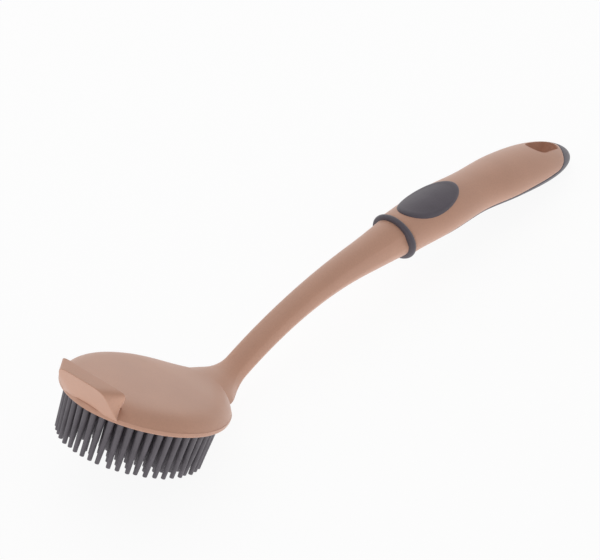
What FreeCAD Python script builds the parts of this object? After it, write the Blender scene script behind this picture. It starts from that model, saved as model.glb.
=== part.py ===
import FreeCAD, Part
import math
import os
from FreeCAD import Matrix, Placement, Rotation, Vector

# Dish brush: a low oval head with silicone bristles and a scraping lip, a slim arched neck,
# and a soft-touch handle with a collar ring, a thumb pad and a grip along its back.
# Millimetres. It is drawn with the bristles' rim flat on the XY plane and the handle
# towards +X, and is laid down on its bristle tips and handle at the end.

# Head, a little longer than wide. Its sections are turned and then narrowed.
RIM_HALF_LENGTH = 34.3
RIM_HALF_WIDTH = 31.6
RIM_BAND_HEIGHT = 1.8
RIM_EDGE_ROUND = 0.7
RIM_STEP = 0.3
SHOULDER_INSET = 8.8
SHOULDER_HEIGHT = 7.25
SHOULDER_ROUND = 4.0
SKIRT_BULGE = 0.85
CROWN_RISE = 0.9
HEAD_WALL = 2.4
CAVITY_RADIUS = 22.5

# Scraping lip at the front of the head
LIP_REACH = 42.7
LIP_HEIGHT = 13.8
LIP_EDGE_WIDTH = 22.0
LIP_BACK = 34.5
LIP_BACK_WIDTH = 34.0
LIP_FOOT_WIDTH = 23.6
LIP_FOOT_DEPTH = 6.0
LIP_EDGE_ROUND = 0.6

# Neck: a straight throat out of the head, a bend, an arch and a shank up to the collar
THROAT_START = 16.6
THROAT_REACH = 42.4
THROAT_HEIGHT = 2.92
THROAT_WIDTH = 49.3
THROAT_THICKNESS = 3.0
BEND_LENGTH = 12.6
ARCH_LENGTH = 74.1
SHANK_LENGTH = 22.2
NECK_WAIST_WIDTH = 11.0
NECK_WAIST_THICKNESS = 9.25
NECK_END_DIAMETER = 17.3
NECK_LEAN = math.radians(45.6)
ARCH_LEAN = math.radians(21.4)
COLLAR_LEAN = math.radians(23.2)
NECK_STATIONS = 15
THROAT_FADE_POWER = 1.16
NECK_FLARE_POWER = 2.6

# Collar ring, which leans forward at its top, and the spigot that holds the neck in the handle
COLLAR_SLANT = math.radians(12)
RING_DIAMETER = 21.6
RING_WIDTH = 3.0
RING_CROWN = 0.9
SPIGOT_SEAT_DIAMETER = 15.0
SPIGOT_SEAT_ROOT = 1.0
SPIGOT_DIAMETER = 9.8
SPIGOT_LENGTH = 20.0
SPIGOT_TIP_CHAMFER = 1.2
BARB_HEIGHT = 0.5
BARB_LENGTH = 4.0
BARB_PLACE_SHARES = (0.55,)

# Handle, measured along its bowed centre line from the collar to the butt
GRIP_LENGTH = 56.4
TAIL_LENGTH = 66.2
GRIP_LEAN = math.radians(16.2)
BUTT_LEAN = math.radians(8.8)
FRONT_WIDTH = 20.3
FRONT_THICKNESS = 18.9
THUMB_WIDTH = 24.1
THUMB_THICKNESS = 18.4
WAIST_WIDTH = 22.5
WAIST_THICKNESS = 17.2
PALM_WIDTH = 25.1
PALM_THICKNESS = 18.05
THUMB_PLACE_SHARE = 0.22
WAIST_PLACE_SHARE = 0.40
PALM_PLACE_SHARE = 0.60
BUTT_WIDTH_POWER = 2.78
BUTT_THICKNESS_POWER = 2.38
BUTT_TIP_SHARE = 0.985
SWELL_STATIONS = 10
BUTT_STATIONS = 9

# Thumb pad let into the top of the handle
THUMB_PAD_LENGTH = 35.0
THUMB_PAD_WIDTH = 17.6
THUMB_PAD_CENTRE = 19.5
THUMB_PAD_DEPTH = 2.2
THUMB_PAD_PROUD = 0.8
THUMB_PAD_EDGE_ROUND = 0.6

# Soft grip along the back of the handle and round its butt. Places are shares of the
# handle's length, heights are shares of its half thickness there.
PARTING_PLACE_SHARES = (0.02, 0.10, 0.18, 0.285, 0.41, 0.54, 0.64, 0.735, 0.81, 0.855, 0.885, 0.915, 0.945)
PARTING_HEIGHT_SHARES = (-1.3, -0.95, -0.6, -0.46, -0.42, -0.38, -0.27, -0.16, -0.06, 0.1, 0.5, 0.92, 1.3)

# Hanging hole: a teardrop with its point towards the butt
HOLE_RADIUS = 5.2
HOLE_TIP_RADIUS = 1.8
HOLE_LENGTH = 19.3
HOLE_END_MARGIN = 11.2

# Bristle pad, its rigid carrier and the plugs that lock them together
PAD_RECESS = 0.8
PAD_THICKNESS = 2.4
CARRIER_THICKNESS = 2.2
CARRIER_BEAD = 0.4
LOCK_COUNT = 6
LOCK_CIRCLE_RADIUS = 15.0
LOCK_DIAMETER = 5.0
LOCK_HEAD_DIAMETER = 7.6
LOCK_HEAD_THICKNESS = 1.0
BRISTLE_LENGTH = 18.8
BRISTLE_ROOT_DIAMETER = 2.8
BRISTLE_TIP_DIAMETER = 1.8
BRISTLE_FIELD_MARGIN = 1.8
BRISTLE_TIP_PLACE_SHARE = 0.965
BRISTLE_RINGS = 6
BRISTLES_PER_RING_STEP = 8
BRISTLE_SIDES = 8

# Clearance between pieces that fit together, and how far a cut runs past the solid
FIT_GAP = 0.15
OVERRUN = 5.0

SHOULDER_RADIUS = RIM_HALF_LENGTH - SHOULDER_INSET
POCKET_HALF_LENGTH = RIM_HALF_LENGTH - HEAD_WALL
POCKET_HALF_WIDTH = RIM_HALF_WIDTH - HEAD_WALL
FIELD_HALF_LENGTH = POCKET_HALF_LENGTH - BRISTLE_FIELD_MARGIN
FIELD_HALF_WIDTH = POCKET_HALF_WIDTH - BRISTLE_FIELD_MARGIN
NECK_LENGTH = THROAT_REACH + BEND_LENGTH + ARCH_LENGTH + SHANK_LENGTH
HANDLE_LENGTH = GRIP_LENGTH + TAIL_LENGTH
HANDLE_START = NECK_LENGTH + RING_WIDTH
Y_AXIS = Vector(0, 1, 0)
Z_AXIS = Vector(0, 0, 1)
X_AXIS = Vector(1, 0, 0)


def smooth_step(share):
    return share * share * (3 - 2 * share)


def centre_line(distance):
    """Point and lean of the brush's centre line, as a chain of tangent arcs.

    Each span has a length and turns evenly from the lean before it to its own.
    """
    spans = (
        (THROAT_REACH, 0.0),
        (BEND_LENGTH, NECK_LEAN),
        (ARCH_LENGTH, ARCH_LEAN),
        (SHANK_LENGTH, COLLAR_LEAN),
        (RING_WIDTH, COLLAR_LEAN),
        (GRIP_LENGTH, GRIP_LEAN),
        (TAIL_LENGTH, BUTT_LEAN),
    )
    place = Vector(0, 0, THROAT_HEIGHT)
    lean = 0.0
    left = distance
    for length, next_lean in spans:
        run = min(left, length)
        turn = (next_lean - lean) * run / length
        chord_lean = lean + turn / 2
        shrink = math.sin(turn / 2) / (turn / 2) if turn else 1.0
        chord = run * shrink
        place = place + Vector(chord * math.cos(chord_lean), 0, chord * math.sin(chord_lean))
        lean = lean + turn
        left = left - run
        if left <= 0:
            break
    return place, lean


def directions(lean):
    """Unit vectors along the centre line and square to it, upwards."""
    along = Vector(math.cos(lean), 0, math.sin(lean))
    upward = Vector(-math.sin(lean), 0, math.cos(lean))
    return along, upward


def oval(distance, half_width, half_thickness, slant=0.0):
    """Elliptical section wire, square to the centre line or slanted with its top forward."""
    place, lean = centre_line(distance)
    along, upward = directions(lean + slant)
    wide = Y_AXIS * half_width
    tall = upward * (half_thickness / math.cos(slant))
    matrix = Matrix(
        wide.x, tall.x, along.x, place.x,
        wide.y, tall.y, along.y, place.y,
        wide.z, tall.z, along.z, place.z,
        0, 0, 0, 1,
    )
    return Part.Wire([Part.makeCircle(1).transformGeometry(matrix).Edges[0]])


def set_on_line(shape, distance, slant=0.0):
    """Move a shape drawn with +X along and +Z up to its place on the centre line."""
    place, lean = centre_line(distance)
    turn = Rotation(Y_AXIS, -math.degrees(lean + slant))
    moved = shape.copy()
    moved.Placement = Placement(place, turn).multiply(moved.Placement)
    return moved


def polygon_wire(points):
    return Part.makePolygon([Vector(*point) for point in points] + [Vector(*points[0])])


def turned(profile, axis_point, axis):
    """Solid of revolution of a closed wire."""
    return Part.Face(profile).revolve(axis_point, axis, 360)


def arc_through(start, bulge, end):
    """Edge of the arc from start to end that stands off their chord by bulge."""
    middle = (start + end) / 2
    chord = end - start
    outward = Vector(chord.z, 0, -chord.x).normalize()
    return Part.Arc(start, middle + outward * bulge, end).toShape()


def oval_prism(half_length, half_width, low, high):
    """Upright prism with an elliptical section round the Z axis, drawn along its longer axis."""
    longer, shorter = max(half_length, half_width), min(half_length, half_width)
    ellipse = Part.Ellipse(Vector(0, 0, low), longer, shorter)
    face = Part.Face(Part.Wire([ellipse.toShape()]))
    prism = face.extrude(Z_AXIS * (high - low))
    if half_width > half_length:
        prism.rotate(Vector(0, 0, 0), Z_AXIS, 90)
    return prism


def head_dome():
    """Outside of the head: rim band, sloping skirt, shoulder and low crown.

    It is turned to the head's half length and then narrowed to its half width.
    """
    floor = Vector(0, 0, 0)
    rim_foot = Vector(RIM_HALF_LENGTH - RIM_EDGE_ROUND, 0, 0)
    rim_low = Vector(RIM_HALF_LENGTH, 0, RIM_EDGE_ROUND)
    rim_top = Vector(RIM_HALF_LENGTH, 0, RIM_BAND_HEIGHT)
    skirt_foot = Vector(RIM_HALF_LENGTH - RIM_STEP, 0, RIM_BAND_HEIGHT)
    shoulder = Vector(SHOULDER_RADIUS, 0, SHOULDER_HEIGHT)
    crown = Vector(0, 0, SHOULDER_HEIGHT + CROWN_RISE)
    crown_sphere = (SHOULDER_RADIUS ** 2 + CROWN_RISE ** 2) / (2 * CROWN_RISE)
    half_way = SHOULDER_RADIUS / 2
    half_drop = crown_sphere - math.sqrt(crown_sphere ** 2 - half_way ** 2)
    crown_middle = Vector(half_way, 0, crown.z - half_drop)
    corner = Vector(RIM_HALF_LENGTH - RIM_EDGE_ROUND, 0, RIM_EDGE_ROUND)
    slant = RIM_EDGE_ROUND * math.sqrt(0.5)
    edge_middle = corner + Vector(slant, 0, -slant)
    profile = Part.Wire([
        Part.makeLine(floor, rim_foot),
        Part.Arc(rim_foot, edge_middle, rim_low).toShape(),
        Part.makeLine(rim_low, rim_top),
        Part.makeLine(rim_top, skirt_foot),
        arc_through(skirt_foot, SKIRT_BULGE, shoulder),
        Part.Arc(shoulder, crown_middle, crown).toShape(),
        Part.makeLine(crown, floor),
    ])
    dome = turned(profile, floor, Z_AXIS)
    ridge = [
        edge for edge in dome.Edges
        if edge.Length > SHOULDER_RADIUS
        and abs(edge.BoundBox.ZMin - SHOULDER_HEIGHT) < RIM_STEP
        and abs(edge.BoundBox.ZMax - SHOULDER_HEIGHT) < RIM_STEP
    ]
    narrowing = Matrix()
    narrowing.scale(1, RIM_HALF_WIDTH / RIM_HALF_LENGTH, 1)
    return dome.makeFillet(SHOULDER_ROUND, ridge).transformGeometry(narrowing)


def scraping_lip():
    """Wedge that leans forward out of the rim and ends in a straight scraping edge."""
    foot_half = LIP_FOOT_WIDTH / 2
    front_x = RIM_STEP - RIM_HALF_LENGTH
    foot_x = front_x * math.sqrt(1 - (foot_half / RIM_HALF_WIDTH) ** 2)
    inner_x = foot_x + LIP_FOOT_DEPTH
    low = RIM_BAND_HEIGHT / 2
    foot_near = Vector(foot_x, -foot_half, low)
    foot_far = Vector(foot_x, foot_half, low)
    foot = Part.Wire([
        Part.Arc(foot_near, Vector(front_x, 0, low), foot_far).toShape(),
        Part.makeLine(foot_far, Vector(inner_x, foot_half, low)),
        Part.makeLine(Vector(inner_x, foot_half, low), Vector(inner_x, -foot_half, low)),
        Part.makeLine(Vector(inner_x, -foot_half, low), foot_near),
    ])
    edge_half = LIP_EDGE_WIDTH / 2
    back_half = LIP_BACK_WIDTH / 2
    top = polygon_wire([
        (-LIP_REACH, -edge_half, LIP_HEIGHT),
        (-LIP_REACH, edge_half, LIP_HEIGHT),
        (-LIP_BACK, back_half, LIP_HEIGHT),
        (-LIP_BACK, -back_half, LIP_HEIGHT),
    ])
    lip = Part.makeLoft([foot, top], True, True)
    top_edges = [edge for edge in lip.Edges if edge.BoundBox.ZMin > LIP_HEIGHT - LIP_EDGE_ROUND]
    return lip.makeFillet(LIP_EDGE_ROUND, top_edges)


def neck_section(distance):
    """Half width and half thickness of the neck.

    The throat's size fades to the waist's by a smooth step raised to a power, and the waist
    flares to the collar by a power of the way gone since.
    """
    waist_place = THROAT_REACH + BEND_LENGTH
    if distance < waist_place:
        gone = (distance - THROAT_START) / (waist_place - THROAT_START)
        fade = (1 - smooth_step(gone)) ** THROAT_FADE_POWER
        width = NECK_WAIST_WIDTH + (THROAT_WIDTH - NECK_WAIST_WIDTH) * fade
        thickness = NECK_WAIST_THICKNESS + (THROAT_THICKNESS - NECK_WAIST_THICKNESS) * fade
    else:
        flare = ((distance - waist_place) / (NECK_LENGTH - waist_place)) ** NECK_FLARE_POWER
        width = NECK_WAIST_WIDTH + (NECK_END_DIAMETER - NECK_WAIST_WIDTH) * flare
        thickness = NECK_WAIST_THICKNESS + (NECK_END_DIAMETER - NECK_WAIST_THICKNESS) * flare
    return width / 2, thickness / 2


def neck():
    """Loft from the throat inside the head to the collar."""
    step = (NECK_LENGTH - THROAT_START) / (NECK_STATIONS - 1)
    places = [THROAT_START + step * number for number in range(NECK_STATIONS - 1)]
    sections = [oval(place, *neck_section(place)) for place in places]
    sections.append(oval(NECK_LENGTH, *neck_section(NECK_LENGTH), COLLAR_SLANT))
    return Part.makeLoft(sections, True)


def ring_thickness():
    """Thickness of the slanted ring, square to its sides."""
    return RING_WIDTH * math.cos(COLLAR_SLANT)


def spigot(gap):
    """Turned spigot: a seat for the ring, then a stem with barbs that snap into the handle.

    With a gap it is the socket that takes it.
    """
    half_ring = ring_thickness() / 2
    seat = Part.makeCylinder(
        SPIGOT_SEAT_DIAMETER / 2 + gap,
        half_ring + half_ring + SPIGOT_SEAT_ROOT + gap,
        -X_AXIS * (half_ring + SPIGOT_SEAT_ROOT),
        X_AXIS,
    )
    radius = SPIGOT_DIAMETER / 2 + gap
    points = [(-OVERRUN, 0, 0), (-OVERRUN, 0, radius)]
    for share in BARB_PLACE_SHARES:
        start = RING_WIDTH + SPIGOT_LENGTH * share
        points.append((start - gap, 0, radius))
        points.append((start - gap, 0, radius + BARB_HEIGHT))
        points.append((start + BARB_LENGTH + gap, 0, radius))
    end = RING_WIDTH + SPIGOT_LENGTH + gap
    points.append((end - SPIGOT_TIP_CHAMFER, 0, radius))
    points.append((end, 0, radius - SPIGOT_TIP_CHAMFER))
    points.append((end, 0, 0))
    stem = turned(polygon_wire(points), Vector(0, 0, 0), X_AXIS)
    slanted_seat = set_on_line(seat, NECK_LENGTH + RING_WIDTH / 2, COLLAR_SLANT)
    return set_on_line(stem, NECK_LENGTH).fuse(slanted_seat)


def seat_height():
    """Height of the ledge that the pad's top lies on."""
    return PAD_RECESS + PAD_THICKNESS


def ceiling_height():
    """Height of the cavity's ceiling, where the carrier's top lies."""
    return seat_height() + CARRIER_THICKNESS


def carrier_outline(gap):
    """Turned half section of the carrier and its snap bead, or of its cavity with a gap."""
    radius = CAVITY_RADIUS - FIT_GAP + gap
    middle = (seat_height() + ceiling_height()) / 2
    return polygon_wire([
        (0, 0, seat_height()),
        (radius, 0, seat_height()),
        (radius, 0, middle - CARRIER_BEAD),
        (radius + CARRIER_BEAD, 0, middle),
        (radius, 0, middle + CARRIER_BEAD),
        (radius, 0, ceiling_height()),
        (0, 0, ceiling_height()),
    ])


def head_and_neck():
    """Head shell, scraping lip, neck and spigot in one moulding."""
    body = head_dome().fuse([scraping_lip(), neck(), spigot(0)])
    pocket = oval_prism(POCKET_HALF_LENGTH, POCKET_HALF_WIDTH, -OVERRUN, seat_height())
    cavity = turned(carrier_outline(FIT_GAP), Vector(0, 0, 0), Z_AXIS)
    return body.cut([pocket, cavity])


def lock_places():
    """Places of the plugs that lock the pad to its carrier, on one circle."""
    angles = [2 * math.pi * number / LOCK_COUNT for number in range(LOCK_COUNT)]
    return [
        Vector(LOCK_CIRCLE_RADIUS * math.cos(angle), LOCK_CIRCLE_RADIUS * math.sin(angle), 0)
        for angle in angles
    ]


def lock_plugs(gap):
    """Headed plugs, or with a gap the stepped holes that take them."""
    low = seat_height()
    high = ceiling_height()
    head_low = high - LOCK_HEAD_THICKNESS
    plugs = []
    for place in lock_places():
        stem = Part.makeCylinder(LOCK_DIAMETER / 2 + gap, head_low - low, place + Z_AXIS * low)
        head = Part.makeCylinder(
            LOCK_HEAD_DIAMETER / 2 + gap,
            LOCK_HEAD_THICKNESS,
            place + Z_AXIS * head_low,
        )
        plugs.append(stem.fuse(head))
    return plugs


def pad_carrier():
    """Rigid disc that snaps into the head and carries the bristle pad."""
    disc = turned(carrier_outline(0), Vector(0, 0, 0), Z_AXIS)
    return disc.cut(lock_plugs(FIT_GAP))


def bristle_places():
    """Bristle centres: one in the middle and rings that grow by the same count.

    Each ring has two bristles side by side at its ends, so the brush lies on a pair of them.
    """
    places = [Vector(0, 0, 0)]
    for ring in range(1, BRISTLE_RINGS + 1):
        half_length = FIELD_HALF_LENGTH * ring / BRISTLE_RINGS
        half_width = FIELD_HALF_WIDTH * ring / BRISTLE_RINGS
        count = BRISTLES_PER_RING_STEP * ring
        for number in range(count):
            angle = 2 * math.pi * (number + 0.5) / count
            places.append(Vector(half_length * math.cos(angle), half_width * math.sin(angle), 0))
    return places


def bristle_corners(place, diameter, height):
    """Corners of a many-sided bristle section at a height."""
    corners = []
    for number in range(BRISTLE_SIDES):
        angle = 2 * math.pi * (number + 0.5) / BRISTLE_SIDES
        offset = Vector(math.cos(angle), math.sin(angle), 0) * (diameter / 2)
        corners.append(place + offset + Z_AXIS * height)
    return corners


def bristle_pad():
    """Silicone disc and its tapered bristles as one shell, with the locking plugs on top.

    The tips stand a little closer together than the roots.
    """
    root = PAD_RECESS
    disc = oval_prism(
        POCKET_HALF_LENGTH - FIT_GAP,
        POCKET_HALF_WIDTH - FIT_GAP,
        root,
        root + PAD_THICKNESS,
    )
    faces = [face for face in disc.Faces if face.CenterOfMass.z > root + PAD_THICKNESS / 4]
    rim = Part.Wire([edge for edge in disc.Edges if edge.BoundBox.ZMax < root + PAD_THICKNESS / 4])
    wires = [rim]
    for place in bristle_places():
        base = bristle_corners(place, BRISTLE_ROOT_DIAMETER, root)
        drawn_in = place * BRISTLE_TIP_PLACE_SHARE
        tip = bristle_corners(drawn_in, BRISTLE_TIP_DIAMETER, -BRISTLE_LENGTH)
        wires.append(Part.makePolygon(base + base[:1]))
        faces.append(Part.Face(Part.makePolygon(tip + tip[:1])))
        for number in range(BRISTLE_SIDES):
            after = (number + 1) % BRISTLE_SIDES
            side = [base[number], base[after], tip[after], tip[number], base[number]]
            faces.append(Part.Face(Part.makePolygon(side)))
    faces.append(Part.makeFace(wires, "Part::FaceMakerBullseye"))
    shell = Part.makeShell(faces)
    shell.sewShape()
    solid = Part.makeSolid(shell)
    if solid.Volume < 0:
        solid.reverse()
    return solid.fuse(lock_plugs(0))


def collar_ring():
    """Soft ring with a crowned outside, between the neck and the handle."""
    bore = SPIGOT_SEAT_DIAMETER / 2 + FIT_GAP
    crown = RING_DIAMETER / 2
    side = crown - RING_CROWN
    half = ring_thickness() / 2
    profile = Part.Wire([
        Part.makeLine(Vector(-half, 0, bore), Vector(-half, 0, side)),
        Part.Arc(Vector(-half, 0, side), Vector(0, 0, crown), Vector(half, 0, side)).toShape(),
        Part.makeLine(Vector(half, 0, side), Vector(half, 0, bore)),
        Part.makeLine(Vector(half, 0, bore), Vector(-half, 0, bore)),
    ])
    ring = turned(profile, Vector(0, 0, 0), X_AXIS)
    return set_on_line(ring, NECK_LENGTH + RING_WIDTH / 2, COLLAR_SLANT)


def handle_section(share):
    """Half width and half thickness of the handle at a share of its length.

    Smooth steps join the front, thumb, waist and palm sizes. From the palm to the butt the
    size falls as the root of one less a power of the way gone.
    """
    marks = (
        (0.0, FRONT_WIDTH, FRONT_THICKNESS),
        (THUMB_PLACE_SHARE, THUMB_WIDTH, THUMB_THICKNESS),
        (WAIST_PLACE_SHARE, WAIST_WIDTH, WAIST_THICKNESS),
        (PALM_PLACE_SHARE, PALM_WIDTH, PALM_THICKNESS),
    )
    if share >= PALM_PLACE_SHARE:
        gone = (share - PALM_PLACE_SHARE) / (1 - PALM_PLACE_SHARE)
        width = PALM_WIDTH * math.sqrt(1 - gone ** BUTT_WIDTH_POWER)
        thickness = PALM_THICKNESS * math.sqrt(1 - gone ** BUTT_THICKNESS_POWER)
        return width / 2, thickness / 2
    for (start, width, thickness), (end, next_width, next_thickness) in zip(marks, marks[1:]):
        if share <= end:
            blend = smooth_step((share - start) / (end - start))
            width = width + (next_width - width) * blend
            thickness = thickness + (next_thickness - thickness) * blend
            return width / 2, thickness / 2


def handle_form(swell):
    """Outer form of the handle, grown all round by swell."""
    shares = [PALM_PLACE_SHARE * number / SWELL_STATIONS for number in range(SWELL_STATIONS)]
    for number in range(BUTT_STATIONS):
        gone = BUTT_TIP_SHARE * math.sin(math.pi / 2 * number / (BUTT_STATIONS - 1))
        shares.append(PALM_PLACE_SHARE + (1 - PALM_PLACE_SHARE) * gone)
    sections = []
    for share in shares:
        half_width, half_thickness = handle_section(share)
        place = HANDLE_START + HANDLE_LENGTH * share
        slant = COLLAR_SLANT if share == 0 else 0.0
        sections.append(oval(place, half_width + swell, half_thickness + swell, slant))
    return Part.makeLoft(sections, True)


def handle_point(share, height_share):
    """Point in the handle's middle plane."""
    place, lean = centre_line(HANDLE_START + HANDLE_LENGTH * share)
    upward = directions(lean)[1]
    return place + upward * (handle_section(min(share, BUTT_TIP_SHARE))[1] * height_share)


def back_region(gap):
    """Everything below the parting line of the handle and behind its butt.

    The line runs along the handle's side and sweeps up over the butt. A gap moves the line
    outwards, square to itself, for the piece that fits there.
    """
    marks = [
        handle_point(share, height)
        for share, height in zip(PARTING_PLACE_SHARES, PARTING_HEIGHT_SHARES)
    ]
    before = marks[:1] + marks[:-1]
    after = marks[1:] + marks[-1:]
    points = []
    for mark, last, following in zip(marks, before, after):
        way = following - last
        points.append(mark + Vector(way.z, 0, -way.x).normalize() * gap)
    along, upward = directions(BUTT_LEAN)
    line = Part.BSplineCurve()
    line.interpolate(points)
    far_top = points[-1] + along * PALM_WIDTH
    far_low = far_top - upward * (PALM_THICKNESS * 2)
    front_low = points[0] - upward * PALM_THICKNESS
    outline = Part.Wire([
        line.toShape(),
        Part.makeLine(points[-1], far_top),
        Part.makeLine(far_top, far_low),
        Part.makeLine(far_low, front_low),
        Part.makeLine(front_low, points[0]),
    ])
    face = Part.Face(outline)
    face.translate(-Y_AXIS * PALM_WIDTH)
    return face.extrude(Y_AXIS * (PALM_WIDTH * 2))


def pad_prism(gap):
    """Upright oval prism of the thumb pad, or of its recess with a gap."""
    length = THUMB_PAD_LENGTH / 2 + gap
    width = THUMB_PAD_WIDTH / 2 + gap
    ellipse = Part.Ellipse(Vector(0, 0, 0), length, width)
    face = Part.Face(Part.Wire([ellipse.toShape()]))
    prism = face.extrude(Z_AXIS * THUMB_THICKNESS)
    return set_on_line(prism, HANDLE_START + THUMB_PAD_CENTRE)


def thumb_pad():
    """Soft oval pad that follows the handle's top and stands a little proud of it."""
    pad = handle_form(THUMB_PAD_PROUD).common(pad_prism(0))
    pad = pad.cut(handle_form(FIT_GAP - THUMB_PAD_DEPTH))
    outlines = [edge for edge in pad.Edges if edge.Length > THUMB_PAD_LENGTH]
    upper = max(outlines, key=lambda edge: edge.CenterOfMass.z)
    return pad.makeFillet(THUMB_PAD_EDGE_ROUND, [upper])


def hanging_hole():
    """Teardrop prism through the butt: a large and a small arc joined by tangents."""
    reach = HOLE_LENGTH - HOLE_RADIUS - HOLE_TIP_RADIUS
    slope = math.asin((HOLE_RADIUS - HOLE_TIP_RADIUS) / reach)
    large_x = HOLE_RADIUS * math.sin(slope)
    large_y = HOLE_RADIUS * math.cos(slope)
    small_x = reach + HOLE_TIP_RADIUS * math.sin(slope)
    small_y = HOLE_TIP_RADIUS * math.cos(slope)
    low = -PALM_THICKNESS
    outline = Part.Wire([
        Part.Arc(
            Vector(large_x, large_y, low),
            Vector(-HOLE_RADIUS, 0, low),
            Vector(large_x, -large_y, low),
        ).toShape(),
        Part.makeLine(Vector(large_x, -large_y, low), Vector(small_x, -small_y, low)),
        Part.Arc(
            Vector(small_x, -small_y, low),
            Vector(reach + HOLE_TIP_RADIUS, 0, low),
            Vector(small_x, small_y, low),
        ).toShape(),
        Part.makeLine(Vector(small_x, small_y, low), Vector(large_x, large_y, low)),
    ])
    prism = Part.Face(outline).extrude(Z_AXIS * (PALM_THICKNESS * 2))
    return set_on_line(prism, hole_place())


def hole_place():
    """Distance along the centre line of the middle of the hanging hole's round end."""
    return HANDLE_START + HANDLE_LENGTH - HOLE_END_MARGIN - HOLE_LENGTH + HOLE_RADIUS


def handle():
    """Rigid core of the handle, with its socket, thumb recess, hole and room for the grip."""
    recess = pad_prism(FIT_GAP).cut(handle_form(-THUMB_PAD_DEPTH))
    core = handle_form(0).cut(back_region(0))
    return core.cut(hanging_hole()).cut(recess).cut(spigot(FIT_GAP))


def back_grip():
    """Soft grip that fills the handle's form below the parting line and round the butt."""
    return handle_form(0).common(back_region(FIT_GAP)).cut(hanging_hole())


def lying_tilt():
    """Turn about Y that brings the bristle tips and the handle's underside to one level.

    Halves the range of turns until the two lowest points agree.
    """
    tip_x = max(
        corner.x for place in bristle_places()
        for corner in bristle_corners(place * BRISTLE_TIP_PLACE_SHARE, BRISTLE_TIP_DIAMETER, 0)
    )
    low, high = 0.0, math.pi / 3
    shares = [number / 100 for number in range(100)]
    undersides = [handle_point(share, -1.0) for share in shares]
    for _ in range(60):
        tilt = (low + high) / 2
        tips = -tip_x * math.sin(tilt) - BRISTLE_LENGTH * math.cos(tilt)
        rest = min(point.z * math.cos(tilt) - point.x * math.sin(tilt) for point in undersides)
        if rest > tips:
            low = tilt
        else:
            high = tilt
    return tilt


PIECES = {
    "head_and_neck": head_and_neck,
    "bristle_pad": bristle_pad,
    "pad_carrier": pad_carrier,
    "collar_ring": collar_ring,
    "handle": handle,
    "thumb_pad": thumb_pad,
    "back_grip": back_grip,
}


def main():
    os.makedirs("parts", exist_ok=True)
    tilt = Placement(Vector(0, 0, 0), Rotation(Y_AXIS, math.degrees(lying_tilt())))
    shapes = {}
    for name, make in PIECES.items():
        shape = make()
        shape.Placement = tilt.multiply(shape.Placement)
        shapes[name] = shape
    box = FreeCAD.BoundBox()
    for shape in shapes.values():
        box.add(shape.optimalBoundingBox(False))
    shift = Vector(-box.Center.x, -box.Center.y, -box.ZMin)
    print("lying turn", round(math.degrees(lying_tilt()), 3), "shift", shift)
    print("size", round(box.XLength, 2), round(box.YLength, 2), round(box.ZLength, 2))
    for name, shape in shapes.items():
        shape.translate(shift)
        print(name, shape.ShapeType, len(shape.Solids), shape.isValid(), round(shape.Volume, 1))
        shape.exportStep("parts/" + name + ".step")


main()
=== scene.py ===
"""Dish brush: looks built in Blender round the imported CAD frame.

Shapes are drawn in millimetres in the brush's own frame, with the head's rim flat on XY and
the handle towards +X, and are laid down where the frame's nodes lie.
"""

import math

import bmesh
import bpy
import numpy as np
from mathutils import Matrix, Vector


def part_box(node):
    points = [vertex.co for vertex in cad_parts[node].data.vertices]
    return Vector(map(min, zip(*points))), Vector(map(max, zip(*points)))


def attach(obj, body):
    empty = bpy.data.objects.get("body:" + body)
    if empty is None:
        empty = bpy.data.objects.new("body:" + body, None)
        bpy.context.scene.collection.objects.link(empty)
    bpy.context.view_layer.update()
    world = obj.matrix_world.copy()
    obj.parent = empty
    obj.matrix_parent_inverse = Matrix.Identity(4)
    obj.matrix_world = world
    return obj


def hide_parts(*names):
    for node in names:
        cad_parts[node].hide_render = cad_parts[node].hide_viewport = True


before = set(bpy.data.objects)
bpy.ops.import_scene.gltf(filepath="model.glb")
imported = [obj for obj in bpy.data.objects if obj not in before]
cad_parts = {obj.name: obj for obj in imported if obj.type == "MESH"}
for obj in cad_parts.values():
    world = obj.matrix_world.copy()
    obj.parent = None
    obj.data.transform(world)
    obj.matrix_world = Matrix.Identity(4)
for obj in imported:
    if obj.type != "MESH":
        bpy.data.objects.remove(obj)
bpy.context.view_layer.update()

bl_info = {
    "name": "Dish brush",
    "version": (1, 0, 0),
    "blender": (4, 5, 0),
    "location": "View3D > Sidebar > Brush",
    "description": "Builds a long-handled dish brush and its studio",
    "category": "Object",
}

BODY = "root"
MM = 0.001
SEED = 11

# Places that the solids share with the looks, in millimetres and degrees. The middle line's
# spans are the throat, bend, arch, shank, ring, grip and tail: a length and the lean at its end.
SPANS = (
    (42.4, 0.0),
    (12.6, 45.6),
    (74.1, 21.4),
    (22.2, 23.2),
    (3.0, 23.2),
    (56.4, 16.2),
    (66.2, 8.8),
)
LINE_HEIGHT = 2.92
COLLAR_SLANT = math.radians(12)
NECK_LENGTH = sum(length for length, _ in SPANS[:4])
RING_WIDTH = SPANS[4][0]
HANDLE_START = NECK_LENGTH + RING_WIDTH
HANDLE_LENGTH = SPANS[5][0] + SPANS[6][0]
CARRIER_MIDDLE = 4.3
SEAT_HEIGHT = 3.2
PAD_RECESS = 0.8
FIT_GAP = 0.15

# Points closer than the first are merged, and the second keeps two rows of them apart
MERGE_DISTANCE = 0.002
ROW_STEP = 0.02

# How far along the line the collar's slant fades out of the neck and out of the handle
NECK_SLANT_FADE = 30.0
HANDLE_SLANT_FADE = 14.0

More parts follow.
